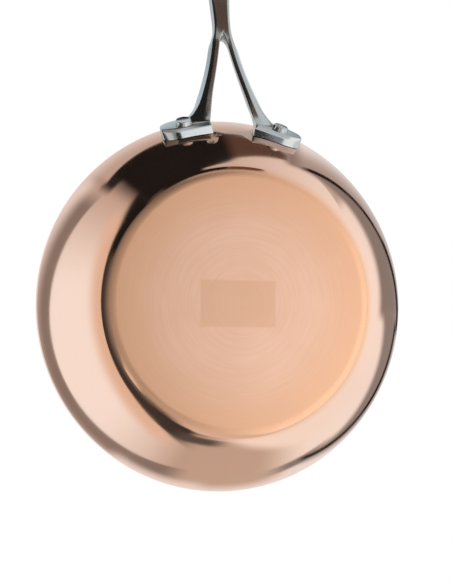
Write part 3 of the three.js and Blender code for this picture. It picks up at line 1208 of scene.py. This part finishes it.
    def pin_middle(self, cage: Cage, row: list[int], spine: Bow, from_tip: float) -> None:
        """Move a half section's two middle points to the end of a slot.

        Args:
            cage: The control mesh.
            row: The half section's points.
            spine: The grip's middle line.
            from_tip: The slot end's distance from the tip.
        """
        middle, up, _, thick = self.grip_section(spine, from_tip)
        cage.points[row[0]] = middle + up * thick
        cage.points[row[6]] = middle - up * thick

    def foot(self, cage: Cage, seat: Seat, body: PanBody) -> list[int]:
        """Add the foot plate, open where the arm grows out of it.

        Args:
            cage: The control mesh.
            seat: The foot's rivet on the +Y side.
            body: The pan that the foot lies on.

        Returns:
            The ring of points that the arm starts from.
        """
        half = self.foot_width / 2
        inner, outer = -self.foot_inner_length, self.foot_outer_length
        root = self.arm_root_width
        rows = (
            inner, inner + root / 2, inner + root, inner + root + self.foot_waist,
            outer - half + self.foot_end_reach,
        )
        ridges = zip(rows, self.foot_near_line, self.foot_far_line)
        lines = [(along, (-half, near, far, half)) for along, near, far in ridges]
        end = self.foot_end_width * half
        lines.append((outer, (-end, -self.foot_end_near * half, 0.0, end)))
        top, under = [], []
        for along, slopes in lines:
            under.append(cage.add(*(self.on_wall(seat, body, along, s) for s in slopes)))
            share = (along - inner) / (outer - inner)
            edge = self.foot_edge_inner + (self.foot_edge_outer - self.foot_edge_inner) * share
            far_level = self.foot_thickness - self.foot_far_drop
            levels = (edge, self.foot_thickness, self.foot_thickness, far_level)
            drafted = (slopes[0] + self.foot_draft, *slopes[1:])
            top.append(cage.add(*(seat.point(along, s, level) for s, level in zip(drafted, levels))))
        last = len(lines) - 1
        for i in range(last):
            for j in range(3):
                if j < 2 or i > 1:
                    cage.faces.append((top[i][j], top[i + 1][j], top[i + 1][j + 1], top[i][j + 1]))
                cage.faces.append((under[i][j], under[i][j + 1], under[i + 1][j + 1], under[i + 1][j]))
            cage.faces.append((under[i][0], under[i + 1][0], top[i + 1][0], top[i][0]))
            if i > 1:
                cage.faces.append((top[i][3], top[i + 1][3], under[i + 1][3], under[i][3]))
        for j in range(3):
            cage.faces.append((under[0][j], top[0][j], top[0][j + 1], under[0][j + 1]))
            cage.faces.append((top[last][j], under[last][j], under[last][j + 1], top[last][j + 1]))
        near_edge = [row[0] for row in top]
        far_edge = [row[3] for row in top[2:]]
        end_edge = top[last][1:3]
        cage.crease([top[0][2], top[0][1], *near_edge, *end_edge, *reversed(far_edge)], self.foot_crease)
        under_edge = [row[0] for row in under] + under[last][1:3] + [row[3] for row in reversed(under)]
        cage.crease([*under_edge, under[0][2], under[0][1], under[0][0]], self.under_crease)
        cage.crease([top[0][0], under[0][0]], self.foot_crease)
        cage.crease([row[2] for row in top[:3]], self.arm_crease)
        cage.crease([row[1] for row in top], self.shoulder_crease)
        return [
            under[1][3], under[2][3], top[2][3], top[2][2],
            top[1][2], top[0][2], top[0][3], under[0][3],
        ]

    def on_wall(self, seat: Seat, body: PanBody, along: float, slope: float) -> Vector:
        """Find the point of a foot's underside that lies just off the wall.

        Args:
            seat: The foot's rivet.
            body: The pan.
            along: The distance round the wall.
            slope: The distance up the wall.

        Returns:
            The point, at the seat gap from the wall.
        """
        low, high = -self.foot_thickness, self.foot_thickness
        for _ in range(self.seat_steps):
            middle = (low + high) / 2
            if body.distance_outside(seat.point(along, slope, middle)) < self.seat_gap:
                low = middle
            else:
                high = middle
        return seat.point(along, slope, high)

    def build(self, body: PanBody) -> bpy.types.Object:
        """Shape the casting, smooth it and dress it.

        Args:
            body: The pan that it is fixed to.

        Returns:
            The finished piece.
        """
        cage = Cage()
        spine = self.spine(body)
        seat = body.seat(self.rivet_height, self.rivet_spacing / 2, 1)
        line = self.arm_line(seat, spine)
        neck = self.grip(cage, spine)
        stations = [(share,) * len(self.arm_root_stations) for share in self.arm_stations]
        stations.append(self.arm_root_stations)
        rings = [self.arm_ring(cage, line, shares) for shares in stations]
        crotch = spine.length - self.crotch_lead
        self.pin_middle(cage, neck, spine, crotch)
        self.fork(cage, neck, rings[0], self.grip_section(spine, crotch)[0], self.arm_crease)
        rings.append(self.foot(cage, seat, body))
        for before, after in zip(rings, rings[1:]):
            cage.bridge(before, after, closed=True)
        for edge, sharpness in ((1, self.arm_crease), (2, self.foot_crease), (7, self.arm_crease)):
            cage.crease([ring[edge] for ring in rings[:-1]], sharpness)
        for edge in (3, 4, 5):
            cage.crease([ring[edge] for ring in rings], self.ridge_crease)
        piece = new_piece("handle_cast", [])
        cage.mesh(piece)
        smoother = piece.modifiers.new("smooth_casting", "SUBSURF")
        smoother.levels = self.levels
        smoother.render_levels = self.levels
        settle(piece)
        piece.data.materials.append(self.finish.material())
        hand_over(piece, self.finish.slot, "handle")
        return piece


@dataclass
class Rivets:
    """The two rivets: a low dome inside the pan, a shank, and a short dished cylinder on the foot."""

    shank_radius: float = 3.0
    outer_radius: float = 5.3
    outer_height: float = 2.7
    outer_round: float = 0.4
    outer_draft: float = 0.45
    dish_depth: float = 0.4
    dish_radius: float = 4.1
    dish_lip: float = 0.08
    dish_bevel_width: float = 0.4
    dish_bevel_depth: float = 0.2
    dish_bowl_share: float = 0.8
    head_sink: float = 0.5
    head_land: float = 0.1
    inner_radius: float = 6.0
    inner_height: float = 2.5
    wall_thickness: float = 2.5
    segments: int = 64
    round_steps: int = 4
    dome_steps: int = 10
    finish: Finish = RIVET_STEEL

    def profile(self, foot_thickness: float) -> Profile:
        """Trace half a rivet from the inner dome's top to the middle of the dish.

        Args:
            foot_thickness: The thickness that the outer head stands on.

        Returns:
            Pairs of radius and height along the rivet.
        """
        seat = -self.wall_thickness
        points = []
        for i in range(self.dome_steps + 1):
            angle = math.pi / 2 * i / self.dome_steps
            points.append((self.inner_radius * math.sin(angle), seat - self.inner_height * math.cos(angle)))
        top = foot_thickness + self.outer_height
        points += [(self.shank_radius, seat), (self.shank_radius, foot_thickness)]
        points += [(self.outer_radius, foot_thickness - self.head_sink)]
        points += [(self.outer_radius, foot_thickness + self.head_land)]
        centre = (self.outer_radius - self.outer_draft - self.outer_round, top - self.outer_round)
        for i in range(self.round_steps + 1):
            angle = math.pi / 2 * i / self.round_steps
            reach = self.outer_round
            points.append((centre[0] + reach * math.cos(angle), centre[1] + reach * math.sin(angle)))
        bevel = (self.dish_radius - self.dish_bevel_width, top - self.dish_bevel_depth)
        bowl = (self.dish_radius / 2, top - self.dish_bowl_share * self.dish_depth)
        points += [(self.dish_radius, top - self.dish_lip), bevel, bowl]
        return points + [(0.0, top - self.dish_depth)]

    def build(self, body: PanBody, handle: Handle, riveting: bpy.types.NodeTree) -> bpy.types.Object:
        """Turn the rivets, set them on the wall and dress them.

        Args:
            body: The pan.
            handle: The handle that they hold.
            riveting: The tree that sets the pair.

        Returns:
            The finished piece.
        """
        piece = new_piece("rivets_headed", self.profile(handle.foot_thickness))
        seat = body.seat(handle.rivet_height, handle.rivet_spacing / 2, 1)
        setter = piece.modifiers.new("set_rivets", "NODES")
        setter.node_group = riveting
        values = {
            "Segments": self.segments,
            "Finish": self.finish.material(),
            "Seat radius": math.hypot(seat.origin.x, seat.origin.y) * MM,
            "Seat height": seat.origin.z * MM,
            "Half spacing": handle.rivet_spacing / 2 * MM,
            "Lean": body.wall_angle(handle.rivet_height, 0.0),
        }
        set_inputs(setter, values)
        settle(piece)
        hand_over(piece, self.finish.slot, "rivet_right", "rivet_left")
        return piece


class Measure(Enum):
    """How a card's lower and upper edges are measured."""

    ELEVATION = "degrees above the horizon"
    RISE = "height over distance on the +Y side"


@dataclass(frozen=True)
class Card:
    """A soft light or a dark flag round the pan, which the polished metal mirrors.

    Attributes:
        name: What stands there.
        azimuth: Direction of its middle in degrees, 0 along the handle and 90 towards +Y.
        half_width: Half its width in degrees.
        side_soft: How far its side edges fade, in degrees.
        low: Its lower edge.
        high: Its upper edge.
        low_soft: How far the lower edge fades.
        high_soft: How far the upper edge fades.
        strength: Its brightness, where 1 is white.
        colour: Its tint.
        measure: The unit of its lower and upper edges.
        slant: How far both edges rise for each degree of azimuth from its middle.
        bow: How far both edges rise for each squared degree of azimuth from its middle.
    """

    name: str
    azimuth: float
    half_width: float
    side_soft: float
    low: float
    high: float
    low_soft: float
    high_soft: float
    strength: float
    colour: str = WHITE
    measure: Measure = Measure.ELEVATION
    slant: float = 0.0
    bow: float = 0.0


@dataclass
class Studio:
    """The floor, lamp, surroundings and camera.

    Attributes:
        floor_size: The floor's side.
        floor_drop: How far the floor lies below the pan.
        floor_near: Distance from the pan where the floor starts to fade into the backdrop.
        floor_far: Distance where the floor is gone.
        floor_colour: Its colour.
        lamp_place: The lamp's middle.
        lamp_size: The lamp's diameter.
        lamp_power: The lamp's power in watts.
        camera_place: The camera's place.
        camera_turn: The camera's turn in degrees.
        camera_lens: The camera's focal length.
        camera_clip: The least distance that the camera sees.
        ambient: Brightness of the plain light from all sides.
        below_span: Elevations between which the surroundings change on the -Y side.
        below_tone: Brightness at these two elevations.
        left_tone: Brightness of the +Y side at the handle's middle plane.
        right_tone: Brightness of the +Y side at right angles to that plane.
        right_tint: Tint there.
        side_span: Directions along Y between which one side turns into the other.
        least_run: The least distance that a rise is measured over.
        cards: Softboxes, flags and tables. A later one covers an earlier one.
    """

    floor_size: float = 6000.0
    floor_drop: float = 0.3
    floor_near: float = 350.0
    floor_far: float = 1500.0
    floor_colour: str = "#F1F0EE"
    lamp_place: tuple[float, float, float] = (-350.0, -250.0, 1500.0)
    lamp_size: float = 1100.0
    lamp_power: float = 7.0
    camera_place: tuple[float, float, float] = (-15.572, -93.748, -397.433)
    camera_turn: tuple[float, float, float] = (-177.123, 11.8534, 89.602)
    camera_lens: float = 43.151
    camera_clip: float = 10.0
    ambient: float = 0.8
    below_span: tuple[float, float] = (-15.0, -75.0)
    below_tone: tuple[float, float] = (0.05, 0.42)
    left_tone: float = 0.55
    right_tone: float = 1.18
    right_tint: str = "#F0FAFF"
    side_span: tuple[float, float] = (-0.26, 0.04)
    least_run: float = 0.02
    cards: tuple[Card, ...] = (
        Card("softbox_below", 90, 84, 24, -90, -48, 1, 22, 0.87, "#F7F8FF"),
        Card("softbox_below_back", 105, 50, 45, -86, -50, 8, 20, 1.2, "#E8F2FF"),
        Card("softbox_below_near", 131, 27, 6, -72, -42, 4, 20, 1.46, "#F4F9FF"),
        Card("softbox_below_end", 178, 26, 16, -60, -22, 6, 8, 0.74),
        Card("softbox_below_right", 95, 32, 10, -58, -38, 6, 6, 1.45),
        Card("softbox_below_left", -133, 10, 4, -60, -43, 4, 4, 0.95),
        Card("gap_below", 172, 33, 4, -79, -67, 2, 2, 0.02),
        Card("flag_under", 0, 24, 6, -65, -46, 4, 6, 0.05),
        Card("softbox_right_back", 144, 36, 18, -12, 60, 14, 1, 1.12, "#EEFAFF"),
        Card("flag_left_low", -48, 20, 8, -30, 10, 10, 1, 0.012),
        Card(
            "softbox_left_spill", -105, 74, 12, -5.5, 60, 1.6, 1, 0.56, "#FFF8F0",
            slant=-0.036, bow=0.0024,
        ),
        Card("softbox_left", -109, 76, 52, -5.4, 60, 1.6, 1, 1.29, "#E2F4FF", slant=-0.055, bow=0.0024),
        Card(
            "softbox_left_edge", -105, 66, 16, -6.8, -5, 0.6, 5.5, 0.8, "#FFF3E4",
            slant=-0.036, bow=0.0024,
        ),
        Card("flag_left_high", -34, 9, 6, 13.4, 17.4, 1.2, 1, 0.02, slant=0.16),
        Card("wall_behind", 170, 32, 22, 7.0, 60, 5, 1, 0.56, "#FFFAF0", slant=-0.5),
        Card("gap_behind", -160, 14, 6, -20, 0.5, 14, 1.8, 0.05, slant=-0.352, bow=-0.0096),
        Card("gap_behind_tip", -175, 15, 11, 2.4, 3.9, 3, 1.6, 0.1, slant=-0.1),
        Card("flag_front", -18.5, 16, 3, -10, 60, 8, 1, 0.012),
        Card("flag_wedge", 17, 16, 3, 15, 80, 1.2, 1, 0.1, "#FFD6C2", slant=0.45),
        Card("flag_front_high", -2, 15, 6, 5, 60, 1.2, 1, 0.012, slant=0.5),
        Card("flag_low", -8, 17, 3, -28, -12, 4, 3, 0.012),
        Card("flag_low_edge", 14.5, 8.5, 2.5, -30, -12, 4, 3, 0.14, "#FFC9AA"),
        Card("table_near_front", 8, 48, 5, 25.7, 90, 0.8, 1, 0.54, slant=0.038, bow=-0.0034),
        Card("table_far_front", -4, 46, 8, 33, 90, 8, 1, 1.0, "#E4F4FF", slant=0.16),
        Card("table_near_left", -109, 70, 11, 16.8, 90, 0.8, 1, 0.26, slant=-0.037, bow=-0.0002),
        Card("table_far_left", -112, 76, 8, 27, 90, 7.4, 1, 1.08, "#E4F4FF", slant=-0.04),
        Card("table_far_behind", 172, 40, 8, 31.5, 90, 6.5, 1, 1.15, "#E4F4FF", slant=-0.16),
        Card("table_near_right", 61, 33, 5, 0.61, 99, 0.11, 1, 0.26, measure=Measure.RISE, slant=-0.0033),
        Card("table_near_back", 116, 30, 5, 0.735, 99, 0.12, 1, 0.28, measure=Measure.RISE, slant=0.006),
        Card("table_mid_right", 66, 34, 6, 0.85, 99, 0.03, 1, 0.42, measure=Measure.RISE, slant=0.005),
        Card("table_far_right", 66, 34, 6, 1.3, 99, 0.55, 1, 1.05, "#E4F4FF", Measure.RISE),
        Card("table_far_back", 120, 30, 8, 1.05, 99, 0.2, 1, 1.15, "#E4F4FF", Measure.RISE),
        Card("table_line_behind", 143, 16, 14, 26.6, 29, 1.2, 2, 0.25, slant=-0.15),
        Card(
            "table_line_right", 65, 30, 5, 0.79, 0.84, 0.015, 0.015, 0.01,
            measure=Measure.RISE, slant=0.005,
        ),
        Card(
            "table_line_middle", 82, 14, 4, 0.865, 0.94, 0.015, 0.015, 0.01,
            measure=Measure.RISE, slant=0.004,
        ),
        Card("table_line_back", 117, 27, 4, 0.835, 0.885, 0.015, 0.015, 0.01, measure=Measure.RISE),
        Card("ceiling", 0, 180, 1, 56, 90, 8, 1, 0.62),
        Card("softbox_above", 0, 180, 1, 78, 90, 12, 1, 0.8),
    )

    def build(self) -> None:
        """Set up everything round the pan."""
        self.lay_floor()
        self.hang_lamp()
        self.paint_surroundings()
        self.place_camera()
        bpy.context.scene.view_settings.view_transform = "Standard"

    def lay_floor(self) -> None:
        """Lay a pale floor that is seen from above only, because the photograph looks from below."""
        half = self.floor_size / 2 * MM
        signs = ((-1, -1), (1, -1), (1, 1), (-1, 1))
        corners = [(x * half, y * half, -self.floor_drop * MM) for x, y in signs]
        mesh = bpy.data.meshes.new("floor")
        mesh.from_pydata(corners, [], [(0, 1, 2, 3)])
        floor = bpy.data.objects.new("floor", mesh)
        bpy.context.scene.collection.objects.link(floor)
        material = bpy.data.materials.new("floor_matt_paper")
        material.use_nodes = True
        tree = material.node_tree
        tree.nodes.clear()
        place = add_node(tree, "ShaderNodeTexCoord").outputs["Object"]
        away = add_node(tree, "ShaderNodeVectorMath", {0: place}, operation="LENGTH").outputs["Value"]
        fade = {0: away, 1: self.floor_near * MM, 2: self.floor_far * MM}
        fade = add_node(tree, "ShaderNodeMapRange", fade, interpolation_type="SMOOTHSTEP").outputs[0]
        behind = add_node(tree, "ShaderNodeNewGeometry").outputs["Backfacing"]
        gone = add_node(tree, "ShaderNodeMath", {0: fade, 1: behind}, operation="MAXIMUM").outputs[0]
        paper = add_node(tree, "ShaderNodeBsdfDiffuse", {"Color": linear(self.floor_colour)}).outputs[0]
        clear = add_node(tree, "ShaderNodeBsdfTransparent").outputs[0]
        sheet = add_node(tree, "ShaderNodeMixShader", {0: gone, 1: paper, 2: clear}).outputs[0]
        add_node(tree, "ShaderNodeOutputMaterial", {"Surface": sheet})
        mesh.materials.append(material)
        floor.visible_glossy = False
        floor.visible_diffuse = False
        floor.visible_shadow = False

    def hang_lamp(self) -> None:
        """Hang one large soft lamp over the pan, which gives the floor its shadow."""
        light = bpy.data.lights.new("softbox_above", "AREA")
        light.shape = "DISK"
        light.size = self.lamp_size * MM
        light.energy = self.lamp_power
        lamp = bpy.data.objects.new("softbox_above", light)
        lamp.location = Vector(self.lamp_place) * MM
        lamp.rotation_euler = lamp.location.to_track_quat("Z", "Y").to_euler()
        lamp.visible_glossy = False
        bpy.context.scene.collection.objects.link(lamp)

    def paint_surroundings(self) -> None:
        """Paint the softboxes and flags that the metal mirrors, with plain white behind the pan."""
        world = bpy.data.worlds.new("softbox_studio")
        bpy.context.scene.world = world
        world.use_nodes = True
        tree = world.node_tree
        tree.nodes.clear()
        direction = add_node(tree, "ShaderNodeTexCoord").outputs["Generated"]
        axes = add_node(tree, "ShaderNodeSeparateXYZ", {0: direction}).outputs
        turn = {0: axes["Y"], 1: axes["X"]}
        turn = add_node(tree, "ShaderNodeMath", turn, operation="ARCTAN2").outputs[0]
        azimuth = add_node(tree, "ShaderNodeMath", {0: turn}, operation="DEGREES").outputs[0]
        tilt = add_node(tree, "ShaderNodeMath", {0: axes["Z"]}, operation="ARCSINE").outputs[0]
        elevation = add_node(tree, "ShaderNodeMath", {0: tilt}, operation="DEGREES").outputs[0]
        right = add_node(tree, "ShaderNodeMath", {0: axes["Y"], 1: 0.0}, operation="MAXIMUM").outputs[0]
        run = {0: right, 1: self.least_run}
        run = add_node(tree, "ShaderNodeMath", run, operation="MAXIMUM").outputs[0]
        rise = add_node(tree, "ShaderNodeMath", {0: axes["Z"], 1: run}, operation="DIVIDE").outputs[0]
        heights = {Measure.ELEVATION: elevation, Measure.RISE: rise}
        below = dict(enumerate((elevation, *self.below_span, *self.below_tone)))
        below = add_node(tree, "ShaderNodeMapRange", below, interpolation_type="SMOOTHSTEP").outputs[0]
        bright = {0: right, 6: linear(WHITE, self.left_tone), 7: linear(self.right_tint, self.right_tone)}
        bright = add_node(tree, "ShaderNodeMix", bright, data_type="RGBA").outputs[2]
        across = dict(enumerate((axes["Y"], *self.side_span)))
        across = add_node(tree, "ShaderNodeMapRange", across, interpolation_type="SMOOTHSTEP").outputs[0]
        sky = {0: across, 6: below, 7: bright}
        sky = add_node(tree, "ShaderNodeMix", sky, data_type="RGBA").outputs[2]
        for card in self.cards:
            mask = self.card_mask(tree, card, azimuth, heights[card.measure])
            paint = {0: mask, 6: sky, 7: linear(card.colour, card.strength)}
            sky = add_node(tree, "ShaderNodeMix", paint, data_type="RGBA").outputs[2]
        ray = add_node(tree, "ShaderNodeLightPath").outputs
        bent = {0: ray["Is Glossy Ray"], 1: ray["Is Transmission Ray"]}
        bent = add_node(tree, "ShaderNodeMath", bent, operation="MAXIMUM").outputs[0]
        seen = {0: bent, 1: ray["Is Camera Ray"]}
        seen = add_node(tree, "ShaderNodeMath", seen, operation="MAXIMUM").outputs[0]
        backdrop = {0: ray["Is Camera Ray"], 6: sky, 7: linear(WHITE)}
        backdrop = add_node(tree, "ShaderNodeMix", backdrop, data_type="RGBA").outputs[2]
        colour = {0: seen, 6: linear(WHITE, self.ambient), 7: backdrop}
        colour = add_node(tree, "ShaderNodeMix", colour, data_type="RGBA").outputs[2]
        background = add_node(tree, "ShaderNodeBackground", {"Color": colour}).outputs[0]
        add_node(tree, "ShaderNodeOutputWorld", {"Surface": background})

    @staticmethod
    def card_mask(
        tree: bpy.types.NodeTree, card: Card, azimuth: bpy.types.NodeSocket, height: bpy.types.NodeSocket
    ) -> bpy.types.NodeSocket:
        """Mark the directions that a card covers.

        Args:
            tree: The world's tree.
            card: The card.
            azimuth: The direction round the pan.
            height: The direction's height in the card's own unit.

        Returns:
            A value that is 1 on the card and 0 off it.
        """
        aside = {0: azimuth, 1: card.azimuth}
        aside = add_node(tree, "ShaderNodeMath", aside, operation="SUBTRACT").outputs[0]
        aside = {0: aside, 1: 180.0, 2: -180.0}
        aside = add_node(tree, "ShaderNodeMath", aside, operation="WRAP").outputs[0]
        lean = {0: aside, 1: card.bow, 2: card.slant}
        lean = add_node(tree, "ShaderNodeMath", lean, operation="MULTIPLY_ADD").outputs[0]
        lift = add_node(tree, "ShaderNodeMath", {0: aside, 1: lean}, operation="MULTIPLY").outputs[0]
        height = add_node(tree, "ShaderNodeMath", {0: height, 1: lift}, operation="SUBTRACT").outputs[0]
        aside = add_node(tree, "ShaderNodeMath", {0: aside}, operation="ABSOLUTE").outputs[0]
        edges = (
            (aside, card.half_width, card.half_width - card.side_soft),
            (height, card.low - card.low_soft, card.low),
            (height, card.high + card.high_soft, card.high),
        )
        mask = None
        for value, outside, inside in edges:
            soft = {0: value, 1: outside, 2: inside}
            part = add_node(tree, "ShaderNodeMapRange", soft, interpolation_type="SMOOTHSTEP").outputs[0]
            if mask is not None:
                part = add_node(tree, "ShaderNodeMath", {0: part, 1: mask}, operation="MULTIPLY").outputs[0]
            mask = part
        return mask

    def place_camera(self) -> None:
        """Look up at the base from below, as the photograph does."""
        camera = bpy.data.objects.new("camera", bpy.data.cameras.new("camera"))
        camera.location = Vector(self.camera_place) * MM
        camera.rotation_euler = Euler([math.radians(a) for a in self.camera_turn])
        camera.data.lens = self.camera_lens
        camera.data.clip_start = self.camera_clip * MM
        bpy.context.scene.collection.objects.link(camera)
        bpy.context.scene.camera = camera


def main() -> None:
    """Build the pan, its handle and rivets, and the studio."""
    logging.basicConfig(level=logging.INFO, format="%(name)s: %(message)s")
    log.info("dressing %d solids", len(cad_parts))
    Studio().build()
    turning = turning_tree()
    body, handle, rivets = PanBody(), Handle(), Rivets()
    body.build(turning)
    handle.build(body)
    rivets.build(body, handle, riveting_tree(turning))


if __name__ == "__main__":
    main()
